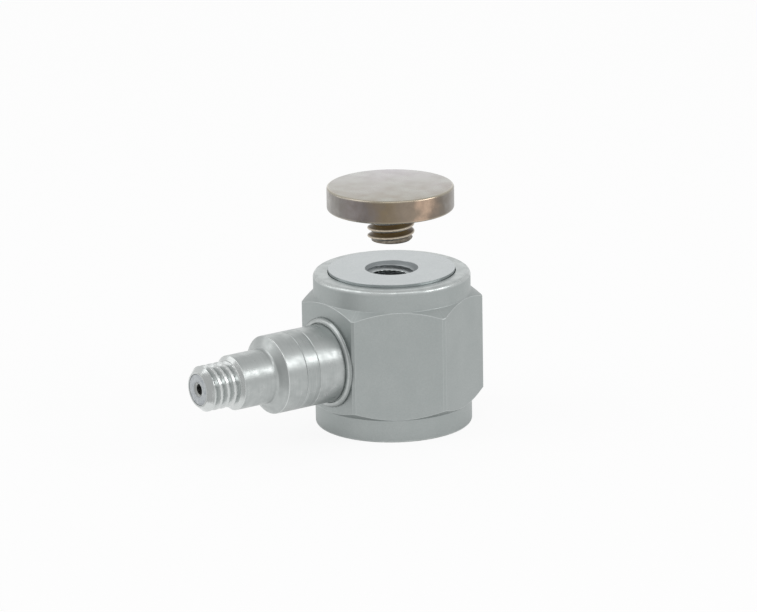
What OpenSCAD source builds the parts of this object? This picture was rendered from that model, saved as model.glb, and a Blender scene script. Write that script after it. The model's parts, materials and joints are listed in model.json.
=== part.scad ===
// Compact quartz force sensor with a side connector and a screw-in impact cap.
// Millimetres. The origin is the centre of the mounting face, +Z is the sensing axis,
// and the connector points along -X. The cap is drawn lifted off, above its tapped hole.

/* [Housing] */
// Width of the hexagon across its flats
hex_af = 15.88; // [14.5:0.02:18]
// Height of the housing from the mounting face to the rim
housing_h = 15.6; // [14.5:0.1:20]
// Depth turned off each corner of the hexagon
corner_trim = 0.11; // [0.05:0.01:0.3]
// Step from the flats in to the two round end rings
ring_step = 0.065; // [0.02:0.005:0.3]
// Height of the lower ring
lower_ring_h = 2.3; // [1.5:0.05:3]
// Height of the upper ring
upper_ring_h = 2.15; // [1.5:0.05:3]
// Slope of the turned shoulders between the rings and the corners, in degrees
shoulder_angle = 34; // [25:1:45]
// Rounding of the lower outer edge
base_edge_r = 0.25; // [0.1:0.05:0.8]
// Rounding of the rim
rim_edge_r = 0.45; // [0.1:0.05:0.8]

/* [Crystal stack] */
// Diameter of the preload stud's ends
stud_d = 3.5; // [3:0.1:4]
// Diameter of the stud's thin, elastic middle
stud_waist_d = 2.8; // [2:0.1:2.9]
// Wall of the sleeve that centres the crystals
sleeve_wall = 0.3; // [0.2:0.05:0.5]
// Radial width of the crystal rings
quartz_w = 3.05; // [2.4:0.05:3.3]
// Thickness of each crystal ring
quartz_t = 1.2; // [0.8:0.05:1.5]
// Thickness of the collector between the crystals
electrode_t = 0.2; // [0.1:0.02:0.4]
// Distance from the collector's edge to the crystals' edge
electrode_inset = 0.1; // [0.05:0.05:0.4]
// Width of the collector's tab
tab_w = 0.7; // [0.5:0.05:1.2]
// Reach of the collector's tab past the crystals
tab_reach = 0.9; // [0.5:0.05:1.2]
// Clearance between stud, sleeve and crystals
stack_gap = 0.05; // [0.02:0.01:0.1]
// Space between the crystals and the housing wall
cavity_gap = 0.9; // [0.5:0.05:1]

/* [Plates] */
// Diameter of the sensing face
sense_d = 12.7; // [11.5:0.1:13.5]
// Height of the sensing face above the rim
sense_proud = 0.28; // [0.15:0.01:0.5]
// Thickness of the sensing plate's disc
sense_disc_t = 0.8; // [0.6:0.05:1.2]
// Gap between the sensing disc and its recess in the rim
sense_gap = 0.08; // [0.04:0.01:0.15]
// Bevel of the sensing disc's edge
sense_bevel = 0.05; // [0.03:0.01:0.15]
// Thickness of the housing's web under the sensing disc
web_t = 0.7; // [0.5:0.05:1]
// Gap between the sensing plate's neck and the web
neck_gap = 0.15; // [0.1:0.01:0.3]
// Thickness of the sealing membrane
membrane_t = 0.15; // [0.1:0.01:0.3]
// Thickness of the base plate's flange
base_flange_t = 2; // [1.5:0.1:2.6]
// Width of the ledge that the base plate's flange is pressed against
base_ledge = 0.4; // [0.3:0.05:0.6]
// Major diameter of the tapped holes in both plates
tap_d = 4.83; // [4.5:0.01:5]
// Depth of the mounting hole in the base plate
mount_hole_depth = 3.8; // [3:0.1:4.2]
// Depth of the cap's hole below the end of its stud
cap_hole_spare = 0.8; // [0.4:0.1:1]
// Depth of the countersink at both holes
countersink = 0.28; // [0.1:0.02:0.4]
// Metal left between a tapped hole and the preload stud
plate_web = 0.5; // [0.3:0.05:0.7]

/* [Connector] */
// Height of the connector's axis
connector_z = 7.48; // [6.8:0.02:8]
// Diameter of the barrel
barrel_d = 7.86; // [7.2:0.02:8.2]
// Width of the flange beyond the barrel
flange_lip = 0.62; // [0.2:0.02:0.8]
// Thickness of the flange
flange_t = 0.45; // [0.2:0.01:0.6]
// Length of the barrel from its flange to the weld
barrel_len = 3.65; // [3:0.05:5]
// Length of the connector shell's wide end, from the weld to the cone
shell_len = 2.94; // [2.5:0.02:4]
// Length of the cone from the barrel down to the neck
cone_len = 0.6; // [0.4:0.05:1]
// Diameter of the neck
neck_d = 5.48; // [5:0.02:5.8]
// Length of the neck
neck_len = 3.75; // [2.5:0.05:5]
// Length of the bevel at the neck's front end
neck_bevel = 0.25; // [0.15:0.05:0.5]
// Diameter over the coupling thread
coupling_d = 4.56; // [4.2:0.02:4.8]
// Length of the coupling thread
coupling_len = 3.01; // [2.5:0.01:4]
// Length of the thread's lead-in taper
lead_in_len = 0.58; // [0.3:0.01:0.8]
// Diameter of the flat end face
end_face_d = 3.5; // [3.4:0.02:4]
// Distance of the two hairline grooves from the weld
groove_offset = 0.75; // [0.5:0.05:1]
// Width of the hairline grooves
groove_w = 0.1; // [0.06:0.01:0.15]
// Depth of the hairline grooves
groove_depth = 0.06; // [0.03:0.01:0.1]

/* [Connector inside] */
// Diameter of the chamber for the amplifier
chamber_d = 5.6; // [5.2:0.05:6]
// Width of the ledge at the chamber's inner end
chamber_ledge = 0.5; // [0.3:0.05:0.7]
// Depth of the chamber's ledge inside the barrel, from the hexagon's flat
ledge_depth = 0.66; // [0.4:0.02:1]
// Metal between the chamber's outer end and the cone
chamber_end = 0.66; // [0.4:0.02:1]
// Wall of the spigot that enters the housing
spigot_wall = 0.8; // [0.5:0.05:1]
// Length of the spigot
spigot_len = 1.24; // [0.8:0.02:1.4]
// Length of the lip that centres the shell in the barrel
register_len = 0.8; // [0.5:0.05:1.2]
// Diameter of the insulating rod
insulator_d = 3.1; // [2.6:0.05:3.2]
// Thickness of the insulator's flange
insulator_flange_t = 0.8; // [0.5:0.05:1.1]
// Depth of the insulator's front behind the end face
insulator_recess = 0.03; // [0:0.01:0.2]
// Diameter of the centre contact
contact_d = 1.44; // [1.3:0.02:1.7]
// Wall of the contact round its hole
contact_wall = 0.16; // [0.12:0.02:0.3]
// Depth of the contact's hole
contact_hole_depth = 3.2; // [2:0.1:4]
// Width of the contact's collar
contact_collar = 0.3; // [0.2:0.05:0.5]
// Thickness of the contact's collar
contact_collar_t = 0.2; // [0.15:0.05:0.3]
// Diameter of the contact's solder tail
tail_d = 1; // [0.8:0.05:1.2]
// Length of the contact's solder tail
tail_len = 0.45; // [0.3:0.05:0.48]

/* [Amplifier] */
// Thickness of the circuit board
board_t = 0.5; // [0.3:0.05:0.6]
// Depth of the holder's slots that grip the board
board_grip = 0.25; // [0.15:0.02:0.3]
// Distance of the board from the inner end of its holder
board_start = 0.5; // [0.3:0.05:0.8]
// Distance of the board from the outer end of its holder
board_stop = 0.7; // [0.7:0.05:0.9]
// Thickness of the ribbon leads
ribbon_t = 0.15; // [0.08:0.01:0.2]
// Width of the ribbon leads
ribbon_w = 0.5; // [0.3:0.05:0.8]
// Length of ribbon that lies on the board
ribbon_lap = 0.4; // [0.2:0.05:0.45]
// Length, width and height of the transistor's body
chip_size = [1.3, 2.9, 0.9]; // [0.8:0.05:3]
// Slope of the transistor's moulded sides
chip_draft = 0.08; // [0.04:0.01:0.12]
// Height of the transistor's body above the board
chip_standoff = 0.1; // [0.05:0.01:0.2]
// Width of the transistor's legs
leg_w = 0.4; // [0.3:0.05:0.5]
// Thickness of the transistor's legs
leg_t = 0.13; // [0.08:0.01:0.2]
// Reach of the transistor's legs from its body
leg_reach = 0.55; // [0.4:0.05:0.6]
// Spacing of the transistor's paired legs
leg_pitch = 1.9; // [1.7:0.05:2.2]
// Length, width and height of the resistor
resistor_size = [1, 0.5, 0.35]; // [0.3:0.05:1]
// Length, width and height of the capacitor
capacitor_size = [1, 0.5, 0.5]; // [0.3:0.05:1]
// Gap between neighbours on the board
part_gap = 0.1; // [0.05:0.01:0.15]

/* [Impact cap] */
// Diameter of the cap
cap_d = 12.7; // [11.5:0.1:14]
// Thickness of the cap
cap_t = 2.37; // [1.5:0.01:4]
// Rounding of the cap's edges
cap_edge_r = 0.25; // [0.1:0.05:0.5]
// Length of the cap's stud
cap_stud_len = 3.2; // [2.5:0.1:3.6]
// Clearance between the cap's stud and its hole
cap_stud_gap = 0.065; // [0.04:0.005:0.1]
// Bevel at the tip of the cap's stud
cap_stud_bevel = 0.4; // [0.2:0.05:0.6]
// Gap between the lifted stud's tip and the sensing face
cap_gap = 2.95; // [1:0.05:8]

/* [Hidden] */
$fn = 96;
eps = 0.01;
// Clearance of fixed pieces in their seats
fit_gap = 0.02;

// Housing outline
flat_x = hex_af / 2;
corner_r = flat_x / cos(30);
turned_r = corner_r - corner_trim;
ring_r = flat_x - ring_step;
shoulder_h = (turned_r - ring_r) * tan(shoulder_angle);
upper_ring_z = housing_h - upper_ring_h;

// Radii of the stack, from the stud outwards
stud_r = stud_d / 2;
sleeve_ir = stud_r + stack_gap;
sleeve_or = sleeve_ir + sleeve_wall;
quartz_ir = sleeve_or + stack_gap;
quartz_or = quartz_ir + quartz_w;
cavity_r = quartz_or + cavity_gap;
base_seat_r = cavity_r + base_ledge;
sense_r = sense_d / 2;
tap_r = tap_d / 2;

// Levels of the stack, with the collector on the connector's axis
stack_low = connector_z - electrode_t / 2 - quartz_t;
stack_high = connector_z + electrode_t / 2 + quartz_t;
sense_top = housing_h + sense_proud;
sense_disc_z = sense_top - sense_disc_t;
recess_z = sense_disc_z - sense_gap;
web_z = recess_z - web_t;
cap_hole_depth = cap_stud_len + cap_hole_spare;
stud_low = mount_hole_depth + plate_web;
stud_high = sense_top - cap_hole_depth - plate_web;

// Connector stations, measured from the sensing axis
spigot_s = flat_x - spigot_len;
ledge_s = flat_x + ledge_depth;
flange_s = flat_x + flange_t;
weld_s = flange_s + barrel_len;
cone_s = weld_s + shell_len;
neck_s = cone_s + cone_len;
neck_end_s = neck_s + neck_len;
coupling_s = neck_end_s + neck_bevel;
lead_in_s = coupling_s + coupling_len;
tip_s = lead_in_s + lead_in_len;
chamber_s = cone_s - chamber_end;
holder_end_s = chamber_s - insulator_flange_t;
board_start_s = ledge_s + board_start;
board_end_s = holder_end_s - board_stop;
board_mid_s = (board_start_s + board_end_s) / 2;
tail_s = holder_end_s - contact_collar_t - tail_len;

// Connector radii
barrel_r = barrel_d / 2;
flange_r = barrel_r + flange_lip;
neck_r = neck_d / 2;
coupling_r = coupling_d / 2;
chamber_r = chamber_d / 2;
bore_r = chamber_r - chamber_ledge;
spigot_r = bore_r + spigot_wall;
register_r = (chamber_r + barrel_r) / 2;
insulator_r = insulator_d / 2;
contact_r = contact_d / 2;
board_half = bore_r + board_grip;

// Board level, so that the ribbons lie flat on the collector's tab
board_top = electrode_t / 2;

// Cap levels
cap_tip_z = sense_top + cap_gap;
cap_low = cap_tip_z + cap_stud_len;
cap_stud_r = tap_r - cap_stud_gap;

// Puts local z along the connector, outwards, and local x upwards
module along_connector() {
    translate([0, 0, connector_z])
        rotate([0, -90, 0])
            children();
}

// A block on the board: side and station give its centre, size is [station, side, height]
module on_board(side, station, size) {
    translate([board_top, side - size[1] / 2, station - size[0] / 2])
        cube([size[2], size[1], size[0]]);
}

// Flat ring between two radii
module ring(outer_r, inner_r, z, h) {
    translate([0, 0, z])
        linear_extrude(h)
            difference() {
                circle(outer_r);
                circle(inner_r);
            }
}

// Tapped hole with a countersunk mouth, pointing up from its mouth at z = 0
module tapped_hole(depth) {
    translate([0, 0, -eps])
        cylinder(r = tap_r, h = depth + eps);
    translate([0, 0, -eps])
        cylinder(r1 = tap_r + countersink + eps, r2 = tap_r, h = countersink + eps);
}

// Removes the corner of a profile outside a rounding of radius r, in the quarter given by sx, sy
module round_off(r, sx, sy) {
    scale([sx, sy])
        translate([-r, -r])
            difference() {
                square(r + 1);
                circle(r);
            }
}

// Half profile of the housing's turned outside
module turned_outline() {
    difference() {
        polygon([
            [0, 0],
            [ring_r, 0],
            [ring_r, lower_ring_h],
            [turned_r, lower_ring_h + shoulder_h],
            [turned_r, upper_ring_z - shoulder_h],
            [ring_r, upper_ring_z],
            [ring_r, housing_h],
            [0, housing_h]
        ]);
        translate([ring_r, 0])
            round_off(base_edge_r, 1, -1);
        translate([ring_r, housing_h])
            round_off(rim_edge_r, 1, 1);
    }
}

// Half profile of everything that is bored out of the housing on its axis
module bored_outline() {
    polygon([
        [0, -eps],
        [base_seat_r + fit_gap, -eps],
        [base_seat_r + fit_gap, base_flange_t],
        [cavity_r, base_flange_t],
        [cavity_r, web_z],
        [quartz_or + neck_gap, web_z],
        [quartz_or + neck_gap, recess_z],
        [sense_r + sense_gap, recess_z],
        [sense_r + sense_gap, housing_h + eps],
        [0, housing_h + eps]
    ]);
}

module hex_housing() {
    color("#a9aeae")
        difference() {
            intersection() {
                rotate_extrude()
                    turned_outline();
                rotate(30)
                    cylinder(r = corner_r, h = housing_h, $fn = 6);
            }
            rotate_extrude()
                bored_outline();
            along_connector()
                cylinder(r = spigot_r + fit_gap, h = flat_x + 1);
        }
}

module base_plate() {
    color("#b4b6b4")
        difference() {
            union() {
                cylinder(r = base_seat_r, h = base_flange_t);
                cylinder(r = quartz_or, h = stack_low);
            }
            tapped_hole(mount_hole_depth);
            translate([0, 0, stud_low])
                cylinder(r = stud_r + fit_gap, h = stack_low - stud_low + eps);
        }
}

module preload_stud() {
    color("#b98d52")
        rotate_extrude()
            polygon([
                [0, stud_low],
                [stud_r, stud_low],
                [stud_r, stack_low - stack_gap],
                [stud_waist_d / 2, stack_low + quartz_t / 2],
                [stud_waist_d / 2, stack_high - quartz_t / 2],
                [stud_r, stack_high + stack_gap],
                [stud_r, stud_high],
                [0, stud_high]
            ]);
}

module quartz_plate_lower() {
    color("#dfe8ea")
        ring(quartz_or, quartz_ir, stack_low, quartz_t);
}

module quartz_plate_upper() {
    color("#dfe8ea")
        ring(quartz_or, quartz_ir, stack_high - quartz_t, quartz_t);
}

module electrode_ring() {
    electrode_or = quartz_or - electrode_inset;
    color("#d9b45a")
        translate([0, 0, connector_z - electrode_t / 2])
            linear_extrude(electrode_t)
                difference() {
                    union() {
                        circle(electrode_or);
                        translate([-quartz_or - tab_reach, -tab_w / 2])
                            square([electrode_inset + tab_reach + tab_w, tab_w]);
                    }
                    circle(quartz_ir + electrode_inset);
                }
}

module locating_sleeve() {
    color("#e8e2d0")
        ring(sleeve_or, sleeve_ir, stack_low, stack_high - stack_low);
}

module sensing_plate() {
    color("#c3c6c6")
        difference() {
            rotate_extrude()
                polygon([
                    [0, stack_high],
                    [quartz_or, stack_high],
                    [quartz_or, sense_disc_z],
                    [sense_r, sense_disc_z],
                    [sense_r, sense_top - sense_bevel],
                    [sense_r - sense_bevel, sense_top],
                    [0, sense_top]
                ]);
            translate([0, 0, sense_top])
                mirror([0, 0, 1])
                    tapped_hole(cap_hole_depth);
            translate([0, 0, stack_high - eps])
                cylinder(r = stud_r + fit_gap, h = stud_high - stack_high + eps);
        }
}

module seal_membrane() {
    color("#c9cac8")
        ring(cavity_r - fit_gap, quartz_or + fit_gap, web_z - membrane_t, membrane_t);
}

// Hairline groove round the barrel at a station
module hairline_groove(station) {
    translate([0, 0, station - groove_w / 2])
        difference() {
            cylinder(r = barrel_r + 1, h = groove_w);
            cylinder(r = barrel_r - groove_depth, h = groove_w);
        }
}

module connector_barrel() {
    color("#b9bbb9")
        along_connector()
            difference() {
                rotate_extrude()
                    polygon([
                        [bore_r, spigot_s],
                        [spigot_r, spigot_s],
                        [spigot_r, flat_x],
                        [flange_r, flat_x],
                        [flange_r, flat_x + flange_t / 2],
                        [flange_r - flange_t / 2, flange_s],
                        [barrel_r, flange_s],
                        [barrel_r, weld_s],
                        [register_r + fit_gap, weld_s],
                        [register_r + fit_gap, weld_s - register_len],
                        [chamber_r, weld_s - register_len],
                        [chamber_r, ledge_s],
                        [bore_r, ledge_s]
                    ]);
                hairline_groove(weld_s - groove_offset);
            }
}

module connector_shell() {
    color("#c4c5c2")
        along_connector()
            difference() {
                rotate_extrude()
                    polygon([
                        [chamber_r, weld_s - register_len],
                        [register_r, weld_s - register_len],
                        [register_r, weld_s],
                        [barrel_r, weld_s],
                        [barrel_r, cone_s],
                        [neck_r, neck_s],
                        [neck_r, neck_end_s],
                        [coupling_r, coupling_s],
                        [coupling_r, lead_in_s],
                        [end_face_d / 2, tip_s],
                        [insulator_r + fit_gap, tip_s],
                        [insulator_r + fit_gap, chamber_s],
                        [chamber_r, chamber_s]
                    ]);
                hairline_groove(weld_s + groove_offset);
            }
}

module connector_insulator() {
    flange_edge = chamber_r - fit_gap;
    hole_r = contact_r + fit_gap;
    front_s = tip_s - insulator_recess;
    color("#b9bcbb")
        along_connector()
            rotate_extrude()
                polygon([
                    [hole_r, holder_end_s],
                    [flange_edge, holder_end_s],
                    [flange_edge, chamber_s],
                    [insulator_r, chamber_s],
                    [insulator_r, front_s],
                    [hole_r, front_s]
                ]);
}

module contact_socket() {
    collar_s = holder_end_s - contact_collar_t;
    front_s = tip_s - 2 * insulator_recess;
    hole_r = contact_r - contact_wall;
    color("#c3c3be")
        along_connector()
            difference() {
                rotate_extrude()
                    polygon([
                        [0, tail_s],
                        [tail_d / 2, tail_s],
                        [tail_d / 2, collar_s],
                        [contact_r + contact_collar, collar_s],
                        [contact_r + contact_collar, holder_end_s],
                        [contact_r, holder_end_s],
                        [contact_r, front_s],
                        [hole_r, front_s],
                        [hole_r, front_s - contact_hole_depth],
                        [0, front_s - contact_hole_depth]
                    ]);
                translate([board_top, -tail_d, tail_s - eps])
                    cube([tail_d, 2 * tail_d, tail_len + eps]);
            }
}

module board_holder() {
    slot_half = board_half + fit_gap;
    color("#e6dfc8")
        along_connector()
            translate([0, 0, ledge_s])
                linear_extrude(holder_end_s - ledge_s)
                    difference() {
                        circle(chamber_r - fit_gap);
                        circle(bore_r);
                        translate([board_top - board_t, -slot_half])
                            square([board_t + fit_gap, 2 * slot_half]);
                    }
}

module amplifier_board() {
    color("#2f6b45")
        along_connector()
            translate([board_top - board_t, -board_half, board_start_s])
                cube([board_t, 2 * board_half, board_end_s - board_start_s]);
}

// Extrudes a profile drawn as [station, height] across the board, centred on local y = 0
module across_board(width) {
    rotate(a = -120, v = [1, 1, 1])
        translate([0, 0, -width / 2])
            linear_extrude(width)
                children();
}

// Bent leg of the transistor, from inside its body down to a foot on the board
module chip_leg() {
    knee = leg_reach / 2;
    shelf = chip_standoff + chip_size[2] / 2;
    across_board(leg_w)
        polygon([
            [leg_reach, 0],
            [knee, 0],
            [knee, shelf - leg_t],
            [-chip_draft - leg_t, shelf - leg_t],
            [-chip_draft - leg_t, shelf],
            [knee + leg_t, shelf],
            [knee + leg_t, leg_t],
            [leg_reach, leg_t]
        ]);
}

module amplifier_chip() {
    half = chip_size[0] / 2;
    low = chip_standoff;
    high = chip_standoff + chip_size[2];
    color("#26282a")
        along_connector()
            translate([board_top, 0, board_mid_s]) {
                across_board(chip_size[1])
                    polygon([
                        [-half + chip_draft, low],
                        [half - chip_draft, low],
                        [half, (low + high) / 2],
                        [half - chip_draft, high],
                        [-half + chip_draft, high],
                        [-half, (low + high) / 2]
                    ]);
                for (side = [-1, 1])
                    translate([0, side * leg_pitch / 2, -half])
                        mirror([0, 0, 1])
                            chip_leg();
                translate([0, 0, half])
                    chip_leg();
            }
}

module bias_resistor() {
    color("#1d1f22")
        along_connector()
            on_board(chip_size[1] / 2 + part_gap + resistor_size[1] / 2, board_mid_s, resistor_size);
}

module coupling_capacitor() {
    color("#b59a76")
        along_connector()
            on_board(-chip_size[1] / 2 - part_gap - capacitor_size[1] / 2, board_mid_s, capacitor_size);
}

// Flat ribbon that lies on the board's level between two stations
module ribbon(from_s, to_s) {
    on_board(0, (from_s + to_s) / 2, [to_s - from_s, ribbon_w, ribbon_t]);
}

module input_lead() {
    color("#d2d3d0")
        along_connector()
            ribbon(quartz_or + part_gap, board_start_s + ribbon_lap);
}

module output_lead() {
    color("#d2d3d0")
        along_connector()
            ribbon(board_end_s - ribbon_lap, holder_end_s - contact_collar_t - fit_gap);
}

// Half profile of the cap, with its stud's tip at z = 0
module cap_outline() {
    cap_r = cap_d / 2;
    cap_h = cap_stud_len + cap_t;
    difference() {
        polygon([
            [0, 0],
            [cap_stud_r - cap_stud_bevel, 0],
            [cap_stud_r, cap_stud_bevel],
            [cap_stud_r, cap_stud_len],
            [cap_r, cap_stud_len],
            [cap_r, cap_h],
            [0, cap_h]
        ]);
        translate([cap_r, cap_stud_len])
            round_off(cap_edge_r, 1, -1);
        translate([cap_r, cap_h])
            round_off(cap_edge_r, 1, 1);
    }
}

module impact_cap() {
    color("#8b8175")
        translate([0, 0, cap_tip_z])
            rotate_extrude()
                cap_outline();
}

hex_housing();
base_plate();
preload_stud();
quartz_plate_lower();
electrode_ring();
quartz_plate_upper();
locating_sleeve();
sensing_plate();
seal_membrane();
connector_barrel();
connector_shell();
connector_insulator();
contact_socket();
board_holder();
amplifier_board();
amplifier_chip();
bias_resistor();
coupling_capacitor();
input_lead();
output_lead();
impact_cap();
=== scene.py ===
import json
import math

import bmesh
import bpy
from mathutils import Matrix, Vector


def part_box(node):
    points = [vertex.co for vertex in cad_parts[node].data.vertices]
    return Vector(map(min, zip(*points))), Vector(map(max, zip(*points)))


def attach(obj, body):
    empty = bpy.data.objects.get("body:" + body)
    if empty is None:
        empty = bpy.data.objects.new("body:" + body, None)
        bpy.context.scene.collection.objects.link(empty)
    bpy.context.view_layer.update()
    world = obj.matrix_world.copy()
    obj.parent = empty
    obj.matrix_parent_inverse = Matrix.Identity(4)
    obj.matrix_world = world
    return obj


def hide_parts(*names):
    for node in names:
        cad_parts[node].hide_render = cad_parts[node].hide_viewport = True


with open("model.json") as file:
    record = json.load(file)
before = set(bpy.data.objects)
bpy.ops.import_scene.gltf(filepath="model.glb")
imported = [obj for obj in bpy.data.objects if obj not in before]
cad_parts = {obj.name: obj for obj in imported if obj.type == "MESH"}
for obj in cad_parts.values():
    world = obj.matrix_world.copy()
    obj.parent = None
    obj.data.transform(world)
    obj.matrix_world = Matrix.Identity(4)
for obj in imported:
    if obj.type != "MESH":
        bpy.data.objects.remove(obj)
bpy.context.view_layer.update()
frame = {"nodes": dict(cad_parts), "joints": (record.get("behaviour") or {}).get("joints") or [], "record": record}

# The view: a long lens, a little above the sensor and to the left of its front, hardly tilted.
# The camera aims near the middle of the sensing axis.
mm = 0.001
picture_width_px = 757
focal_length_px = 4808.0
film_width = 36
nearest_seen = 10 * mm
view_azimuth = math.radians(-34.12)
view_elevation = math.radians(16.34)
view_roll = math.radians(-0.996)
view_distance = 482.3 * mm
aim_point = Vector((0, 0, 8 * mm))
aim_right_of_centre = 1.431 * mm
aim_above_centre = -3.713 * mm

towards_camera = Vector((
    math.sin(view_azimuth) * math.cos(view_elevation),
    -math.cos(view_azimuth) * math.cos(view_elevation),
    math.sin(view_elevation),
))
level_right = Vector((math.cos(view_azimuth), math.sin(view_azimuth), 0))
level_up = towards_camera.cross(level_right)
camera_right = level_right * math.cos(view_roll) + level_up * math.sin(view_roll)
camera_up = level_up * math.cos(view_roll) - level_right * math.sin(view_roll)
camera_place = aim_point + towards_camera * view_distance
camera_place -= camera_right * aim_right_of_centre + camera_up * aim_above_centre

lens = bpy.data.cameras.new("long_lens")
lens.sensor_width = film_width
lens.lens = film_width * focal_length_px / picture_width_px
lens.clip_start = nearest_seen
camera = bpy.data.objects.new("photo_camera", lens)
bpy.context.scene.collection.objects.link(camera)
camera_turn = Matrix((camera_right, camera_up, towards_camera)).transposed().to_4x4()
camera.matrix_world = Matrix.Translation(camera_place) @ camera_turn
bpy.context.scene.camera = camera
bpy.context.scene.view_settings.view_transform = "Standard"


# The studio: a white floor that keeps a faint shadow, pale walls under a dimmer ceiling, a grey card
# past the connector's tip that only mirrored rays see, and soft boxes right of the camera, above the
# front, above left, behind left and behind right.
def node(tree, kind, values=None, **settings):
    """Adds a node; each value is a socket to link from or a plain number."""
    made = tree.nodes.new(kind)
    for setting, choice in settings.items():
        setattr(made, setting, choice)
    for socket, value in (values or {}).items():
        if isinstance(value, bpy.types.NodeSocket):
            tree.links.new(value, made.inputs[socket])
        else:
            made.inputs[socket].default_value = value
    return made


def sums(tree, operation, first, second=0.0):
    """One step of arithmetic between two numbers."""
    return node(tree, "ShaderNodeMath", {0: first, 1: second}, operation=operation).outputs[0]


def ramp(tree, value, start, end, low=0.0, high=1.0):
    """A number that goes from low to high while the value goes from start to end."""
    return node(tree, "ShaderNodeMapRange", {0: value, 1: start, 2: end, 3: low, 4: high}).outputs[0]


def between(tree, factor, low, high):
    """A number that goes from low to high with the factor."""
    return ramp(tree, factor, 0.0, 1.0, low, high)


def ray_kinds(tree):
    """One for rays from the camera, else nought, and the same for mirrored and refracted rays."""
    path = node(tree, "ShaderNodeLightPath").outputs
    mirrored = sums(tree, "MAXIMUM", path["Is Glossy Ray"], path["Is Transmission Ray"])
    return path["Is Camera Ray"], mirrored


def bare_material(name):
    """Material with an empty tree."""
    material = bpy.data.materials.new(name)
    material.use_nodes = True
    material.node_tree.nodes.clear()
    return material


def sheet(name, corners, paper):
    """Flat four-cornered studio piece."""
    form = bpy.data.meshes.new(name)
    form.from_pydata(corners, [], [(0, 1, 2, 3)])
    form.materials.append(paper)
    board = bpy.data.objects.new(name, form)
    bpy.context.scene.collection.objects.link(board)
    return board


floor_half = 900 * mm
floor_level = -0.01 * mm
floor_white = 0.9
floor_glow_seen = 0.9
floor_glow_mirrored = 0.92
contact_reach = 4.5 * mm
floor_paper = bare_material("studio_floor")
tree = floor_paper.node_tree
from_camera, mirrored = ray_kinds(tree)
matt = node(tree, "ShaderNodeBsdfDiffuse", {"Color": (floor_white, floor_white, floor_white, 1)})
glow = node(tree, "ShaderNodeEmission", {"Strength": 1.0})
# Near the sensor, the floor's glow in reflections is darkened by ambient occlusion: a painted contact shadow.
contact_shadow_openness = node(tree, "ShaderNodeAmbientOcclusion", {"Distance": contact_reach}).outputs["AO"]
share_seen = sums(tree, "MULTIPLY", from_camera, floor_glow_seen)
share_mirrored = sums(tree, "MULTIPLY", sums(tree, "MULTIPLY", mirrored, contact_shadow_openness), floor_glow_mirrored)
share = sums(tree, "ADD", share_seen, share_mirrored)
lit = node(tree, "ShaderNodeMixShader", {0: share, 1: matt.outputs[0], 2: glow.outputs[0]})
node(tree, "ShaderNodeOutputMaterial", {"Surface": lit.outputs[0]})
floor_corners = [
    (-floor_half, -floor_half, floor_level),
    (floor_half, -floor_half, floor_level),
    (floor_half, floor_half, floor_level),
    (-floor_half, floor_half, floor_level),
]
sheet("studio_floor", floor_corners, floor_paper)

card_x = -26 * mm
card_front = -5 * mm
card_back = 4 * mm
card_low = 2 * mm
card_top = 14 * mm
card_grey = 0.55
card_felt = bare_material("grey_card")
tree = card_felt.node_tree
felt = node(tree, "ShaderNodeEmission", {"Strength": card_grey})
node(tree, "ShaderNodeOutputMaterial", {"Surface": felt.outputs[0]})
card_corners = [
    (card_x, card_front, card_low),
    (card_x, card_back, card_low),
    (card_x, card_back, card_top),
    (card_x, card_front, card_top),
]
card = sheet("grey_card", card_corners, card_felt)
card.visible_camera = False
card.visible_diffuse = False
card.visible_shadow = False

room_pale = 0.8
room_light = 0.85
wall_light = 1.0
ceiling_light = 0.95
ceiling_from = 0.6
ceiling_to = 0.85
room = bpy.data.worlds.new("white_room")
bpy.context.scene.world = room
room.use_nodes = True
tree = room.node_tree
tree.nodes.clear()
from_camera, mirrored = ray_kinds(tree)
direction = node(tree, "ShaderNodeTexCoord").outputs["Generated"]
height = node(tree, "ShaderNodeSeparateXYZ", {0: direction}).outputs["Z"]
walls = ramp(tree, height, ceiling_from, ceiling_to, wall_light, ceiling_light)
level = sums(tree, "MAXIMUM", between(tree, mirrored, room_light, walls), from_camera)
room_paint = (room_pale, room_pale, room_pale, 1)
backdrop = node(tree, "ShaderNodeBackground", {"Color": room_paint, "Strength": level})
node(tree, "ShaderNodeOutputWorld", {"Surface": backdrop.outputs[0]})


def soft_box(name, direction, distance, width, height, power):
    """Wide lamp that faces the middle of the sensor."""
    light = bpy.data.lights.new(name, "AREA")
    light.shape = "RECTANGLE"
    light.size = width
    light.size_y = height
    light.energy = power
    lamp = bpy.data.objects.new(name, light)
    bpy.context.scene.collection.objects.link(lamp)
    lamp.location = aim_point + Vector(direction).normalized() * distance
    lamp.rotation_euler = Vector(direction).to_track_quat("Z", "Y").to_euler()


soft_box("front_right_box", (0.54, -0.64, 0.54), 500 * mm, width=300 * mm, height=170 * mm, power=0.38)
soft_box("front_box", (-0.12, -0.47, 0.88), 500 * mm, width=400 * mm, height=150 * mm, power=0.2)
soft_box("top_left_box", (-0.60, 0.28, 0.75), 500 * mm, width=300 * mm, height=300 * mm, power=0.3)
soft_box("back_left_box", (-0.65, 0.69, 0.31), 500 * mm, width=200 * mm, height=160 * mm, power=0.08)
soft_box("back_right_box", (0.53, 0.80, 0.35), 550 * mm, width=360 * mm, height=360 * mm, power=0.11)


# Base plate: the stainless disc that closes the bottom, turned in one piece with the pedestal that
# the crystals stand on. It is pressed in flush and has the tapped mounting hole in its middle.
arc_steps = 6
longest_share = 0.45
turned_sides = 160
tiny = 0.0001 * mm


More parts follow.
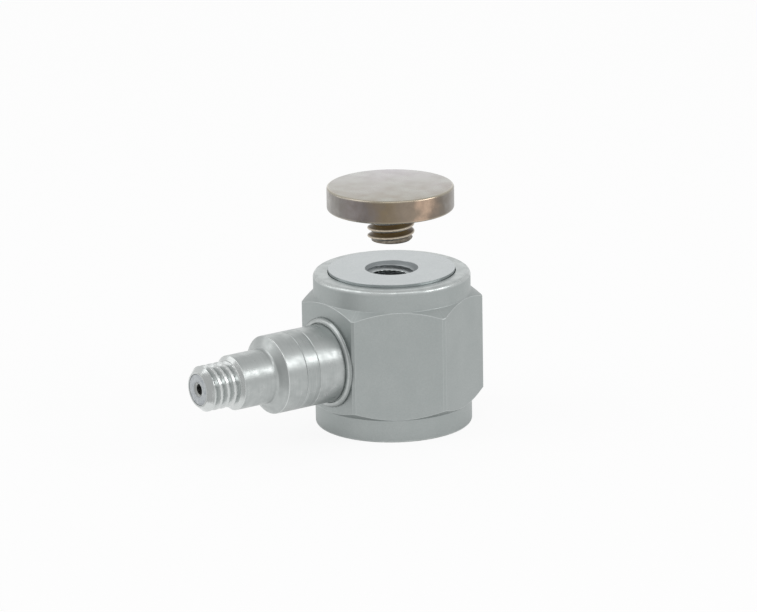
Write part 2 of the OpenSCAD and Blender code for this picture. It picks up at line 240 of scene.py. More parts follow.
def soften(corners, closed):
    """Points (x, y, wear and sheen) along an anticlockwise outline of (x, y, rounding) corners; the third number
    marks outer roundings for polish and a painted highlight.
    """
    points = []
    for index, (x, y, rounding) in enumerate(corners):
        at = Vector((x, y))
        at_end = index in (0, len(corners) - 1) and not closed
        if at_end or rounding == 0:
            points.append((x, y, 0.0))
            continue
        back = Vector(corners[index - 1][:2]) - at
        onward = Vector(corners[(index + 1) % len(corners)][:2]) - at
        half_angle = back.angle(onward) / 2
        longest = longest_share * min(back.length, onward.length)
        reach = min(rounding / math.tan(half_angle), longest)
        first = at + back.normalized() * reach
        last = at + onward.normalized() * reach
        outside = 1.0 if onward.x * back.y - onward.y * back.x > 0 else 0.0
        for step in range(arc_steps + 1):
            t = step / arc_steps
            shares = ((1 - t) ** 2, 2 * math.sin(half_angle) * t * (1 - t), t ** 2)
            spot = (first * shares[0] + at * shares[1] + last * shares[2]) / sum(shares)
            points.append((spot.x, spot.y, outside * math.sin(math.pi * t)))
    return points


def fine_rows(points, inner, outer, row_height):
    """Splits the straight stretches between two radii into rows, where a thread is to be cut."""
    split = [points[0]]
    for here, there in zip(points, points[1:]):
        rows = 1
        if inner < min(here[0], there[0]) and max(here[0], there[0]) < outer:
            rows = max(1, math.ceil(abs(there[1] - here[1]) / row_height))
        for row in range(1, rows + 1):
            t = row / rows
            split.append(tuple(a + (b - a) * t for a, b in zip(here, there)))
    return split


def new_piece(name, form):
    """Object at the origin, with the form as its mesh."""
    mesh = bpy.data.meshes.new(name)
    form.to_mesh(mesh)
    form.free()
    piece = bpy.data.objects.new(name, mesh)
    bpy.context.scene.collection.objects.link(piece)
    return piece


def skin(name, columns, closed):
    """Mesh over columns of (x, y, z, wear and sheen) points that follow each other round the axis."""
    form = bmesh.new()
    wear_sheen = form.verts.layers.float.new("wear_and_sheen")
    grid = []
    for column in columns:
        grid.append([])
        for x, y, z, wear_and_sheen in column:
            vertex = form.verts.new((x, y, z))
            vertex[wear_sheen] = wear_and_sheen
            grid[-1].append(vertex)
    rows = len(columns[0])
    for here, there in zip(grid, grid[1:] + grid[:1]):
        for row in range(rows if closed else rows - 1):
            above = (row + 1) % rows
            form.faces.new((here[row], there[row], there[above], here[above]))
    bmesh.ops.remove_doubles(form, verts=form.verts, dist=tiny)
    return new_piece(name, form)


def turned(name, points, closed):
    """Sweeps (radius, height, wear and sheen) points once round the upright axis."""
    columns = []
    for side in range(turned_sides):
        angle = 2 * math.pi * side / turned_sides
        cosine = math.cos(angle)
        sine = math.sin(angle)
        columns.append([(r * cosine, r * sine, z, wear_and_sheen) for r, z, wear_and_sheen in points])
    return skin(name, columns, closed)


def replace_mesh(piece):
    """Makes the piece's modifiers part of its mesh."""
    depsgraph = bpy.context.evaluated_depsgraph_get()
    done = bpy.data.meshes.new_from_object(piece.evaluated_get(depsgraph), depsgraph=depsgraph)
    done.name = piece.name
    piece.modifiers.clear()
    piece.data = done


def round_axis(tree, place):
    """A place's X, Y and Z, and its distance from the upright axis."""
    along = node(tree, "ShaderNodeSeparateXYZ", {0: place}).outputs
    flat_place = node(tree, "ShaderNodeCombineXYZ", {"X": along["X"], "Y": along["Y"]}).outputs[0]
    length = node(tree, "ShaderNodeVectorMath", {0: flat_place}, operation="LENGTH")
    return along, length.outputs["Value"]


def thread_cutter():
    """Node tree that cuts a right-hand vee thread into a blank turned on the upright axis."""
    blank_margin = 0.002 * mm
    sizes = ("Radius", "Depth", "Pitch", "Start", "End", "Run In", "Run Out", "Phase", "Crest", "Root")
    tree = bpy.data.node_groups.new("thread_cutter", "GeometryNodeTree")
    sockets = tree.interface
    sockets.new_socket("Blank", in_out="INPUT", socket_type="NodeSocketGeometry")
    for size in sizes:
        sockets.new_socket(size, in_out="INPUT", socket_type="NodeSocketFloat")
    sockets.new_socket("Finish", in_out="INPUT", socket_type="NodeSocketMaterial")
    sockets.new_socket("Threaded", in_out="OUTPUT", socket_type="NodeSocketGeometry")
    given = node(tree, "NodeGroupInput").outputs

    place = node(tree, "GeometryNodeInputPosition").outputs[0]
    along, radius = round_axis(tree, place)
    turn = sums(tree, "DIVIDE", sums(tree, "ARCTAN2", along["Y"], along["X"]), 2 * math.pi)
    climb = sums(tree, "SUBTRACT", sums(tree, "DIVIDE", along["Z"], given["Pitch"]), turn)
    phase = sums(tree, "FRACT", sums(tree, "ADD", climb, given["Phase"]))
    both_ways = sums(tree, "SUBTRACT", sums(tree, "MULTIPLY", phase, 2.0), 1.0)
    from_crest = sums(tree, "ABSOLUTE", both_ways)
    groove = ramp(tree, from_crest, given["Crest"], sums(tree, "SUBTRACT", 1.0, given["Root"]))
    run_in_end = sums(tree, "ADD", given["Start"], given["Run In"])
    run_out_start = sums(tree, "SUBTRACT", given["End"], given["Run Out"])
    begun = ramp(tree, along["Z"], given["Start"], run_in_end)
    going = ramp(tree, along["Z"], run_out_start, given["End"], 1.0, 0.0)
    share_cut = sums(tree, "MINIMUM", groove, sums(tree, "MULTIPLY", begun, going))
    limit = sums(tree, "SUBTRACT", given["Radius"], sums(tree, "MULTIPLY", share_cut, given["Depth"]))
    cut_radius = sums(tree, "MINIMUM", radius, limit)
    sunk = sums(tree, "DIVIDE", sums(tree, "SUBTRACT", radius, cut_radius), given["Depth"])
    on_blank = sums(tree, "LESS_THAN", radius, sums(tree, "ADD", given["Radius"], blank_margin))
    kept = sums(tree, "DIVIDE", cut_radius, sums(tree, "MAXIMUM", radius, tiny))
    factor = between(tree, on_blank, 1.0, kept)
    scale = node(tree, "ShaderNodeCombineXYZ", {"X": factor, "Y": factor, "Z": 1.0}).outputs[0]
    moved = node(tree, "ShaderNodeVectorMath", {0: place, 1: scale}, operation="MULTIPLY").outputs[0]
    marked = node(
        tree, "GeometryNodeStoreNamedAttribute",
        {"Geometry": given["Blank"], "Name": "groove", "Value": sums(tree, "MULTIPLY", sunk, on_blank)},
        data_type="FLOAT", domain="POINT",
    ).outputs[0]
    shaped = node(tree, "GeometryNodeSetPosition", {"Geometry": marked, "Position": moved}).outputs[0]
    whole = node(tree, "GeometryNodeRealizeInstances", {0: shaped}).outputs[0]
    coat = {"Geometry": whole, "Material": given["Finish"]}
    coated = node(tree, "GeometryNodeSetMaterial", coat).outputs[0]
    node(tree, "NodeGroupOutput", {0: coated})
    return tree


def cut_thread(piece, finish, **sizes):
    """Runs the thread cutter over a blank and keeps the result as its mesh."""
    cutter = piece.modifiers.new("thread", "NODES")
    cutter.node_group = bpy.data.node_groups.get("thread_cutter") or thread_cutter()
    sizes["Finish"] = finish
    for socket in cutter.node_group.interface.items_tree:
        key = socket.name.replace(" ", "_")
        if key in sizes:
            cutter[socket.identifier] = sizes[key]
    replace_mesh(piece)


def shade(piece, finish):
    """Gives a piece its finish, with soft shading that stays flat on the flat faces."""
    sharp_angle = math.radians(35)
    mesh = piece.data
    mesh.materials.clear()
    mesh.materials.append(finish)
    mesh.polygons.foreach_set("use_smooth", [True] * len(mesh.polygons))
    mesh.polygons.foreach_set("material_index", [0] * len(mesh.polygons))
    mesh.set_sharp_from_angle(angle=sharp_angle)
    piece.modifiers.new("flat_faces", "WEIGHTED_NORMAL").keep_sharp = True


def paint(code):
    """Colour from its six-digit code, as amounts of light."""
    parts = [int(code[i:i + 2], 16) / 255 for i in (1, 3, 5)]
    return (*[p / 12.92 if p <= 0.04045 else ((p + 0.055) / 1.055) ** 2.4 for p in parts], 1.0)


def new_finish(name):
    """Material with a surface shader: itself, its tree and the shader."""
    finish = bare_material(name)
    tree = finish.node_tree
    shader = node(tree, "ShaderNodeBsdfPrincipled")
    node(tree, "ShaderNodeOutputMaterial", {"Surface": shader.outputs[0]})
    return finish, tree, shader


def object_place(tree):
    """The point on the object, in its own frame."""
    return node(tree, "ShaderNodeTexCoord").outputs["Object"]


def mark(tree, name):
    """A number that the mesh carries, such as how worn an edge is and how much painted highlight it takes."""
    return node(tree, "ShaderNodeAttribute", attribute_name=name).outputs["Fac"]


def cloud(tree, place, size, detail=2.0):
    """Soft noise with patches of about this size, spread over nought to one."""
    usual_low = 0.3
    usual_high = 0.7
    noise = node(tree, "ShaderNodeTexNoise", {"Vector": place, "Scale": 1 / size, "Detail": detail})
    return ramp(tree, noise.outputs["Fac"], usual_low, usual_high)


def blended(tree, factor, first, second):
    """A colour that goes from the first to the second with the factor; each is a code or a socket."""
    first, second = [paint(tone) if isinstance(tone, str) else tone for tone in (first, second)]
    mix = node(tree, "ShaderNodeMix", {0: factor, 6: first, 7: second}, data_type="RGBA")
    return mix.outputs[2]


def dress(tree, shader, colour, roughness, relief, strength, depth, metallic=1.0):
    """Gives a surface shader its colour, roughness and fine relief."""
    bump = node(tree, "ShaderNodeBump", {"Height": relief, "Strength": strength, "Distance": depth})
    tree.links.new(colour, shader.inputs["Base Color"])
    tree.links.new(roughness, shader.inputs["Roughness"])
    tree.links.new(bump.outputs[0], shader.inputs["Normal"])
    shader.inputs["Metallic"].default_value = metallic


mounts = {mount["name"]: mount for mount in frame["record"]["mounts"]}
tap_radius = mounts["mounting_hole"]["dims"]["r_mm"] * mm
tap_pitch = 0.79375 * mm
tap_depth = 0.44 * mm
tap_countersink = 0.28 * mm
mouth_margin = 0.03 * mm
hole_mouth = tap_radius + tap_countersink - mouth_margin
# Pale tone that marked edges are painted towards: a painted highlight on top of real rubbed polish.
edge_highlight_tone = "#dde1e0"
# Dark tone of the painted shade inside the tapped holes.
hole_shade_tone = "#84898b"


def blasted_steel(name, pale, dark, roughness):
    """Bead-blasted stainless steel: fine grit; marked edges rubbed glossier and painted brighter as a highlight;
    the tapped hole rough as cut and painted darker as shade, most in its roots, with its crests painted brighter
    as a highlight.
    """
    grit_size = 0.14 * mm
    drift_size = 2.6 * mm
    rub_size = 0.9 * mm
    dark_share = 0.5
    least_rubbed = 0.45
    highlight_share = 0.6
    root_tear_and_shade = 0.75
    crest_tear_and_shade = 0.1
    torn_roughness = 0.5
    rubbed_polish = 0.26
    roughness_spread = 0.03
    grit_strength = 0.5
    grit_depth = 0.004 * mm
    finish, tree, shader = new_finish(name)
    place = object_place(tree)
    grit = cloud(tree, place, grit_size, detail=3.0)
    drift = cloud(tree, place, drift_size, detail=3.0)
    crest = mark(tree, "groove")
    # Thread crests in the holes take the same painted highlight as the rubbed edges.
    wear_and_highlight_marks = sums(tree, "MAXIMUM", mark(tree, "wear_and_sheen"), crest)
    patchy = between(tree, cloud(tree, place, rub_size), least_rubbed, 1.0)
    rub_and_highlight = sums(tree, "MULTIPLY", wear_and_highlight_marks, patchy)
    speckled = blended(tree, between(tree, grit, 0.0, dark_share), pale, dark)
    clouded = blended(tree, between(tree, drift, 0.0, dark_share), speckled, dark)
    highlighted = blended(tree, sums(tree, "MULTIPLY", rub_and_highlight, highlight_share), clouded, edge_highlight_tone)
    # Inside the tapped holes the colour is painted darker as shade, most in the thread roots; the added roughness
    # there is the real as-cut finish.
    in_hole = sums(tree, "LESS_THAN", round_axis(tree, place)[1], hole_mouth)
    torn_and_shaded = sums(tree, "MULTIPLY", in_hole, between(tree, crest, root_tear_and_shade, crest_tear_and_shade))
    colour = blended(tree, torn_and_shaded, highlighted, hole_shade_tone)
    dull = between(tree, grit, roughness - roughness_spread, roughness + roughness_spread)
    torn = sums(tree, "ADD", dull, sums(tree, "MULTIPLY", torn_and_shaded, torn_roughness))
    polished = sums(tree, "SUBTRACT", torn, sums(tree, "MULTIPLY", rub_and_highlight, rubbed_polish))
    dress(tree, shader, colour, polished, grit, grit_strength, grit_depth)
    return finish


housing_pale = "#aeb3b2"
housing_dark = "#a2a8a7"
housing_roughness = 0.48
housing_steel = blasted_steel("housing_steel", housing_pale, housing_dark, housing_roughness)
crest_flat = 0.125
root_flat = 0.25
rows_per_turn = 24
thread_row = tap_pitch / rows_per_turn
mount_thread_phase = 0.2
mount_run_in = 0.25 * mm
fit_gap = 0.02 * mm
base_low, base_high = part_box("base_plate")
stud_low, stud_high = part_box("preload_stud")
base_radius = base_high.x
base_flange_top = 2.0 * mm
pedestal_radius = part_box("quartz_plate_lower")[1].x
pedestal_top = base_high.z
stud_hole_radius = stud_high.x + fit_gap
plate_web = 0.5 * mm
mount_hole_end = stud_low.z - plate_web
tap_rounding = 0.03 * mm
mouth_rounding = 0.04 * mm
flange_rounding = 0.05 * mm
plate_rounding = 0.08 * mm
plate_fillet = 0.1 * mm
base_corners = [
    (0, mount_hole_end, 0),
    (tap_radius, mount_hole_end, 0),
    (tap_radius, tap_countersink, tap_rounding),
    (tap_radius + tap_countersink, base_low.z, mouth_rounding),
    (base_radius, base_low.z, plate_rounding),
    (base_radius, base_flange_top, flange_rounding),
    (pedestal_radius, base_flange_top, plate_fillet),
    (pedestal_radius, pedestal_top, plate_rounding),
    (stud_hole_radius, pedestal_top, plate_rounding),
    (stud_hole_radius, stud_low.z, 0),
    (0, stud_low.z, 0),
]
base_points = fine_rows(soften(base_corners, False), tap_radius - tiny, tap_radius + tiny, thread_row)
base_disc = turned("base_disc", base_points, False)
cut_thread(
    base_disc, housing_steel, Radius=tap_radius, Depth=tap_depth, Pitch=tap_pitch, Phase=mount_thread_phase,
    Start=tap_countersink, End=mount_hole_end - tap_pitch, Run_In=mount_run_in, Run_Out=tap_pitch,
    Crest=crest_flat, Root=root_flat,
)
shade(base_disc, housing_steel)
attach(base_disc, "sensor")
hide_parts("base_plate")


# Crystal stack: two ground quartz rings with a gold-plated collector between them, centred by a
# plastic sleeve on the copper-alloy stud that holds base plate and sensing plate together.
def plain_finish(name, pale, dark, patch_size, roughness, metallic=0.0, see_through=0.0):
    """Small hidden parts: two close tones in soft patches, with a little grain."""
    grains_per_patch = 8
    roughness_spread = 0.05
    grain_strength = 0.3
    grain_depth = 0.003 * mm
    finish, tree, shader = new_finish(name)
    place = object_place(tree)
    patches = cloud(tree, place, patch_size, detail=3.0)
    grain = cloud(tree, place, patch_size / grains_per_patch)
    colour = blended(tree, patches, pale, dark)
    dull = between(tree, grain, roughness - roughness_spread, roughness + roughness_spread)
    dress(tree, shader, colour, dull, grain, grain_strength, grain_depth, metallic)
    shader.inputs["Transmission Weight"].default_value = see_through
    return finish


def keep_node(name, finish):
    """Leaves a hidden piece's solid as it is, with a finish of its own."""
    for place in frame["nodes"][name].material_slots:
        place.material = finish


gold_plating = plain_finish("gold_plating", "#d8b45c", "#c9a04a", 0.6 * mm, roughness=0.25, metallic=1.0)
cream_insulator = plain_finish("cream_insulator", "#e6dfc8", "#dcd3b8", 0.8 * mm, roughness=0.45)
quartz = plain_finish("ground_quartz", "#e2eaec", "#d3dee1", 0.9 * mm, roughness=0.3, see_through=0.6)
stud_alloy = plain_finish("stud_alloy", "#bd9257", "#a97f47", 0.7 * mm, roughness=0.3, metallic=1.0)
keep_node("preload_stud", stud_alloy)
keep_node("quartz_plate_lower", quartz)
keep_node("quartz_plate_upper", quartz)
keep_node("electrode_ring", gold_plating)
keep_node("locating_sleeve", cream_insulator)


# Hexagonal housing: milled from stainless bar, with its two ends and the tips of its corners
# turned, then bead-blasted. The plates are pressed into it and the connector enters its side.
housing_low, housing_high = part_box("hex_housing")
half_flat = housing_high.x
turned_radius = housing_high.y
rim_height = housing_high.z
ring_inset = 0.065 * mm
ring_radius = half_flat - ring_inset
lower_ring_top = 2.3 * mm
upper_ring_height = 2.15 * mm
upper_ring_base = rim_height - upper_ring_height
shoulder_slope = math.tan(math.radians(34))
rim_rounding = 0.45 * mm
base_rounding = 0.25 * mm
corner_rounding = 0.12 * mm
shoulder_rounding = 0.09 * mm
recess_rounding = 0.05 * mm
seat_rounding = 0.04 * mm
flat_step = 0.36 * mm
# How strongly the rim's top and the corner bands are polished and painted brighter as a highlight.
rim_polish_and_highlight = 0.6
corner_polish_and_highlight = 0.45
sense_low, sense_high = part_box("sensing_plate")
sense_radius = sense_high.x
sense_gap = 0.05 * mm
disc_thickness = 0.8 * mm
disc_base = sense_high.z - disc_thickness
recess_radius = sense_radius + sense_gap
recess_base = disc_base - sense_gap
web_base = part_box("seal_membrane")[1].z
web_gap = 0.15 * mm
web_radius = pedestal_radius + web_gap
cavity_gap = 0.9 * mm
cavity_radius = pedestal_radius + cavity_gap
base_seat_radius = base_radius + fit_gap


def housing_column(x, y, wear_and_sheen):
    """Profile of the housing where its hexagon's outline passes through (x, y)."""
    reach = math.hypot(x, y)
    drop = (reach - ring_radius) * shoulder_slope
    corners = [
        (recess_radius, recess_base, 0),
        (web_radius, recess_base, 0),
        (web_radius, web_base, 0),
        (cavity_radius, web_base, 0),
        (cavity_radius, base_flange_top, 0),
        (base_seat_radius, base_flange_top, 0),
        (base_seat_radius, housing_low.z, seat_rounding),
        (ring_radius, housing_low.z, base_rounding),
        (ring_radius, lower_ring_top, corner_rounding),
        (reach, lower_ring_top + drop, shoulder_rounding),
        (reach, upper_ring_base - drop, shoulder_rounding),
        (ring_radius, upper_ring_base, corner_rounding),
        (ring_radius, rim_height, rim_rounding),
        (recess_radius, rim_height, recess_rounding),
    ]
    column = []
    for r, z, wear_sheen in soften(corners, True):
        # The corner bands and the rim's top take the edge mark: polished, and painted brighter as a highlight.
        if r > ring_radius + tiny:
            wear_sheen = max(wear_sheen, wear_and_sheen * corner_polish_and_highlight)
        if z > rim_height - tiny:
            wear_sheen = max(wear_sheen, rim_polish_and_highlight)
        column.append((x * r / reach, y * r / reach, z, wear_sheen))
    return column


def cut_away(piece, cutter):
    """Cuts the cutter's shape out of a piece and takes the cutter away."""
    opening = piece.modifiers.new("opening", "BOOLEAN")
    opening.object = cutter
    opening.solver = "EXACT"
    replace_mesh(piece)
    bpy.data.objects.remove(cutter)


band_angle = math.acos(half_flat / turned_radius)
hexagon_corners = []
for flat in range(6):
    facing = math.radians(60 * flat)
    for angle in (facing - band_angle, facing + band_angle):
        x = turned_radius * math.cos(angle)
        y = turned_radius * math.sin(angle)
        hexagon_corners.append((x, y, corner_rounding))
hexagon = soften(hexagon_corners, True)
hexagon_columns = []
for here, there in zip(hexagon, hexagon[1:] + hexagon[:1]):
    steps = max(1, math.ceil(math.dist(here[:2], there[:2]) / flat_step))
    for step in range(steps):
        t = step / steps
        x = here[0] + (there[0] - here[0]) * t
        y = here[1] + (there[1] - here[1]) * t
        hexagon_columns.append(housing_column(x, y, here[2] if step == 0 else 0.0))
housing_body = skin("housing_body", hexagon_columns, True)

spigot_low, spigot_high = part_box("connector_barrel")
connector_height = mounts["coax_jack"]["pos_m"][2]
connector_turn = Matrix.Rotation(math.radians(-90), 4, "Y")
along_connector = Matrix.Translation((0, 0, connector_height)) @ connector_turn
spigot_radius = 3.1 * mm
port_radius = spigot_radius + fit_gap
port_overrun = 1 * mm
port_depth = half_flat + port_overrun
port_corners = [(0, 0, 0), (port_radius, 0, 0), (port_radius, port_depth, 0), (0, port_depth, 0)]
port_cutter = turned("port_cutter", port_corners, False)
port_cutter.data.transform(along_connector)
cut_away(housing_body, port_cutter)
shade(housing_body, housing_steel)
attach(housing_body, "sensor")
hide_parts("hex_housing")


# Sensing plate: the stainless disc that stands a little proud of the rim and takes the force.
# It is turned in one piece with the neck that presses on the crystals, and tapped for the cap.
face_pale = "#b6bbbc"
face_dark = "#abb1b2"
face_roughness = 0.24
face_steel = blasted_steel("face_steel", face_pale, face_dark, face_roughness)
sense_bevel = 0.02 * mm
disc_rounding = 0.04 * mm
cap_hole_rounding = 0.03 * mm
cap_hole_end = stud_high.z + plate_web
cap_hole_clearance = 0.2 * mm
sense_corners = [
    (0, stud_high.z, 0),
    (stud_hole_radius, stud_high.z, 0),
    (stud_hole_radius, sense_low.z, plate_rounding),
    (pedestal_radius, sense_low.z, plate_rounding),
    (pedestal_radius, disc_base, plate_fillet),
    (sense_radius, disc_base, disc_rounding),
    (sense_radius, sense_high.z - sense_bevel, 0),
    (sense_radius - sense_bevel, sense_high.z, 0),
    (tap_radius + tap_countersink, sense_high.z, cap_hole_rounding),
    (tap_radius, sense_high.z - tap_countersink, 0),
    (tap_radius, cap_hole_end, 0),
    (0, cap_hole_end, 0),
]
cap_thread_phase = 0.62
cap_travel = frame["joints"][0]["range_m"][0]
seated_phase = cap_thread_phase - cap_travel / tap_pitch
sense_points = fine_rows(soften(sense_corners, False), tap_radius - tiny, tap_radius + tiny, thread_row)
sensing_disc = turned("sensing_disc", sense_points, False)
cut_thread(
    sensing_disc, face_steel, Radius=tap_radius, Depth=tap_depth, Pitch=tap_pitch, Phase=seated_phase,
    Start=cap_hole_end + cap_hole_clearance, End=sense_high.z - tap_countersink,
    Run_In=tap_pitch / 2, Run_Out=tap_depth, Crest=crest_flat, Root=root_flat,
)
shade(sensing_disc, face_steel)
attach(sensing_disc, "sensor")
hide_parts("sensing_plate")
keep_node("seal_membrane", face_steel)


# Connector barrel: turned stainless, welded into the side of the housing with a rounded bead at
# its flange. It holds the amplifier, and the connector shell is welded to its outer end.
turned_pale = "#bbbfbe"
turned_dark = "#a0a5a4"
# Pale tone of the painted highlight on rounded edges, the lead-in and the threaded nose.
turned_highlight = "#e2e5e4"
# Dark tone of the painted shade in the nose's thread roots.
root_shade_tone = "#6d7274"
bead_tone = "#8b908f"


def turned_steel(name, bead_to, weld_from, weld_to, nose_from):
    """Bright turned steel round the connector's axis: tool rings, soft patches, a streaky weld and a darker weld
    bead; rounded edges, the lead-in and the threaded nose painted brighter as a highlight, and the thread roots
    painted darker as shade.
    """
    ring_size = 0.09 * mm
    ring_wander = 0.02
    ring_share = 0.3
    weld_share = 0.9
    ring_strength = 0.5
    ring_depth = 0.005 * mm
    patch_size = 0.8 * mm
    patch_share = 0.35
    highlight_share = 0.6
    bead_share = 0.7
    root_shade_share = 0.25
    smoothest = 0.26
    roughest = 0.44
    edge_polish = 0.12
    nose_polish = 0.06
    finish, tree, shader = new_finish(name)
    place = object_place(tree)
    local = node(
        tree, "ShaderNodeMapping",
        {"Vector": place, "Location": (0, 0, connector_height), "Rotation": connector_turn.to_euler()},
        vector_type="TEXTURE",
    ).outputs[0]
    along, radius = round_axis(tree, local)
    station = along["Z"]
    wander = sums(tree, "MULTIPLY", along["X"], ring_wander)
    ring_place = node(tree, "ShaderNodeCombineXYZ", {"X": radius, "Y": station, "Z": wander}).outputs[0]
    rings = cloud(tree, ring_place, ring_size)
    patches = cloud(tree, place, patch_size, detail=4.0)
    wear_and_sheen = mark(tree, "wear_and_sheen")
    groove = mark(tree, "groove")
    on_bead = sums(tree, "LESS_THAN", station, bead_to)
    past_weld = sums(tree, "GREATER_THAN", station, weld_from)
    on_weld = sums(tree, "MULTIPLY", past_weld, sums(tree, "LESS_THAN", station, weld_to))
    on_nose = sums(tree, "GREATER_THAN", station, nose_from)
    streaks = sums(tree, "MULTIPLY", rings, between(tree, on_weld, ring_share, weld_share))
    streaked = blended(tree, streaks, turned_pale, turned_dark)
    patched = blended(tree, between(tree, patches, 0.0, patch_share), streaked, turned_dark)
    # Rounded edges and the whole threaded nose are painted brighter: a painted highlight.
    highlight = sums(tree, "MULTIPLY", sums(tree, "MAXIMUM", wear_and_sheen, on_nose), highlight_share)
    highlighted = blended(tree, highlight, patched, turned_highlight)
    beaded = blended(tree, sums(tree, "MULTIPLY", on_bead, bead_share), highlighted, bead_tone)
    # Thread roots are painted darker: painted shade.
    colour = blended(tree, sums(tree, "MULTIPLY", groove, root_shade_share), beaded, root_shade_tone)
    dull = between(tree, patches, smoothest, roughest)
    smooth = sums(tree, "MAXIMUM", sums(tree, "MAXIMUM", wear_and_sheen, groove), on_bead)
    nose_part = sums(tree, "MULTIPLY", on_nose, nose_polish)
    polish = sums(tree, "ADD", sums(tree, "MULTIPLY", smooth, edge_polish), nose_part)
    polished = sums(tree, "SUBTRACT", dull, polish)
    dress(tree, shader, colour, polished, rings, ring_strength, ring_depth)
    return finish


barrel_radius = 3.93 * mm
chamber_radius = 2.8 * mm
bore_radius = 2.3 * mm
flange_radius = spigot_high.y
spigot_start = -spigot_high.x
weld_station = -spigot_low.x
bead_width = 0.45 * mm
bead_sink = 0.14 * mm
bead_undercut = 0.05 * mm
bead_side = 0.2 * mm
bead_crown = 0.24 * mm
bead_toe = 0.12 * mm
bead_step = 0.04 * mm
flange_end = half_flat + bead_width
barrel_start = flange_end - bead_sink
ledge_depth = 0.66 * mm
ledge_station = half_flat + ledge_depth
register_radius = (chamber_radius + barrel_radius) / 2
register_length = 0.8 * mm
register_start = weld_station - register_length
sleeve_length = 2.94 * mm
cone_station = weld_station + sleeve_length
cone_length = 0.6 * mm
neck_station = cone_station + cone_length
neck_length = 3.75 * mm
neck_end = neck_station + neck_length
groove_offset = 0.75 * mm
groove_half = 0.05 * mm
groove_depth = 0.06 * mm
groove_root_rounding = 0.01 * mm
fine_rounding = 0.02 * mm
bore_rounding = 0.05 * mm
spigot_rounding = 0.1 * mm
bead_edge_rounding = 0.04 * mm
bead_side_rounding = 0.2 * mm
bead_crown_rounding = 0.3 * mm
bead_toe_rounding = 0.12 * mm
weld_from = weld_station - groove_offset
weld_to = weld_station + groove_offset
connector_steel = turned_steel("connector_steel", barrel_start, weld_from, weld_to, neck_end)


def hairline(station):
    """Corners of a fine groove round the barrel at a station."""
    return [
        (barrel_radius, station - groove_half, fine_rounding),
        (barrel_radius - groove_depth, station, groove_root_rounding),
        (barrel_radius, station + groove_half, fine_rounding),
    ]


barrel_corners = [
    (bore_radius, spigot_start, bore_rounding),
    (spigot_radius, spigot_start, spigot_rounding),
    (spigot_radius, half_flat, 0),
    (flange_radius - bead_undercut, half_flat, 0),
    (flange_radius - bead_undercut, half_flat + bead_undercut, 0),
    (flange_radius, half_flat + 2 * bead_undercut, bead_edge_rounding),
    (flange_radius, half_flat + bead_side, bead_side_rounding),
    (flange_radius - bead_crown, flange_end, bead_crown_rounding),
    (barrel_radius + bead_toe, flange_end, bead_toe_rounding),
    (barrel_radius + bead_step, barrel_start, fine_rounding),
    (barrel_radius, barrel_start, fine_rounding),
    *hairline(weld_from),
    (barrel_radius, weld_station, 0),
    (register_radius + fit_gap, weld_station, 0),
    (register_radius + fit_gap, register_start, 0),
    (chamber_radius, register_start, 0),
    (chamber_radius, ledge_station, 0),
    (bore_radius, ledge_station, 0),
]
sleeve_points = [(r, z, wear_and_sheen if z > flange_end else 0.0) for r, z, wear_and_sheen in soften(barrel_corners, True)]
connector_sleeve = turned("connector_sleeve", sleeve_points, True)
connector_sleeve.data.transform(along_connector)
shade(connector_sleeve, connector_steel)
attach(connector_sleeve, "sensor")
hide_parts("connector_barrel")


# Amplifier: a small green board with a moulded transistor, a resistor and a capacitor, gripped in
# a split plastic holder inside the barrel, with flat ribbon leads at its two ends.
nickel = plain_finish("nickel", "#c6c8c6", "#b4b7b5", 0.4 * mm, roughness=0.3, metallic=1.0)
green_board = plain_finish("green_board", "#2f6b45", "#275a3a", 0.7 * mm, roughness=0.5)
chip_black = plain_finish("chip_black", "#2a2c2e", "#1f2123", 0.3 * mm, roughness=0.5)
resistor_black = plain_finish("resistor_black", "#22252a", "#191b1f", 0.2 * mm, roughness=0.45)
capacitor_tan = plain_finish("capacitor_tan", "#b99e79", "#a98e6a", 0.2 * mm, roughness=0.4)
keep_node("board_holder", cream_insulator)
keep_node("amplifier_board", green_board)
keep_node("amplifier_chip", chip_black)
keep_node("bias_resistor", resistor_black)
keep_node("coupling_capacitor", capacitor_tan)
keep_node("input_lead", nickel)
keep_node("output_lead", nickel)


# Connector shell: turned stainless, stepped down by a cone to a neck and a threaded nose that the
# cable's nut screws on. It is welded to the barrel and carries the insulated contact.
tip_station = -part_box("connector_shell")[0].x
neck_radius = 2.74 * mm
neck_bevel = 0.25 * mm
coupling_start = neck_end + neck_bevel
lead_in_length = 0.58 * mm
lead_in_start = tip_station - lead_in_length
coupling_radius = mounts["coax_jack"]["dims"]["r_mm"] * mm
coupling_depth = 0.40 * mm
coupling_phase = 0.765
coupling_crest = 0.3
coupling_root = 0.1
coupling_run_in = 0.15 * mm
coupling_run_out = 0.12 * mm
end_face_radius = 1.75 * mm
insulator_radius = 1.55 * mm
insulator_bore = insulator_radius + fit_gap
chamber_wall = 0.66 * mm
chamber_end = cone_station - chamber_wall
cone_rounding = 0.1 * mm
neck_fillet = 0.3 * mm
neck_rounding = 0.05 * mm
coupling_rounding = 0.04 * mm
tip_rounding = 0.05 * mm
bore_mouth_rounding = 0.03 * mm
shell_corners = [
    (chamber_radius, register_start, 0),
    (register_radius, register_start, 0),
    (register_radius, weld_station, 0),
    (barrel_radius, weld_station, 0),
    *hairline(weld_to),
    (barrel_radius, cone_station, cone_rounding),
    (neck_radius, neck_station, neck_fillet),
    (neck_radius, neck_end, neck_rounding),
    (coupling_radius, coupling_start, coupling_rounding),
    (coupling_radius, lead_in_start, 0),
    (end_face_radius, tip_station, tip_rounding),
    (insulator_bore, tip_station, bore_mouth_rounding),
    (insulator_bore, chamber_end, 0),
    (chamber_radius, chamber_end, 0),
]
shell_outline = soften(shell_corners, True)
shell_points = []
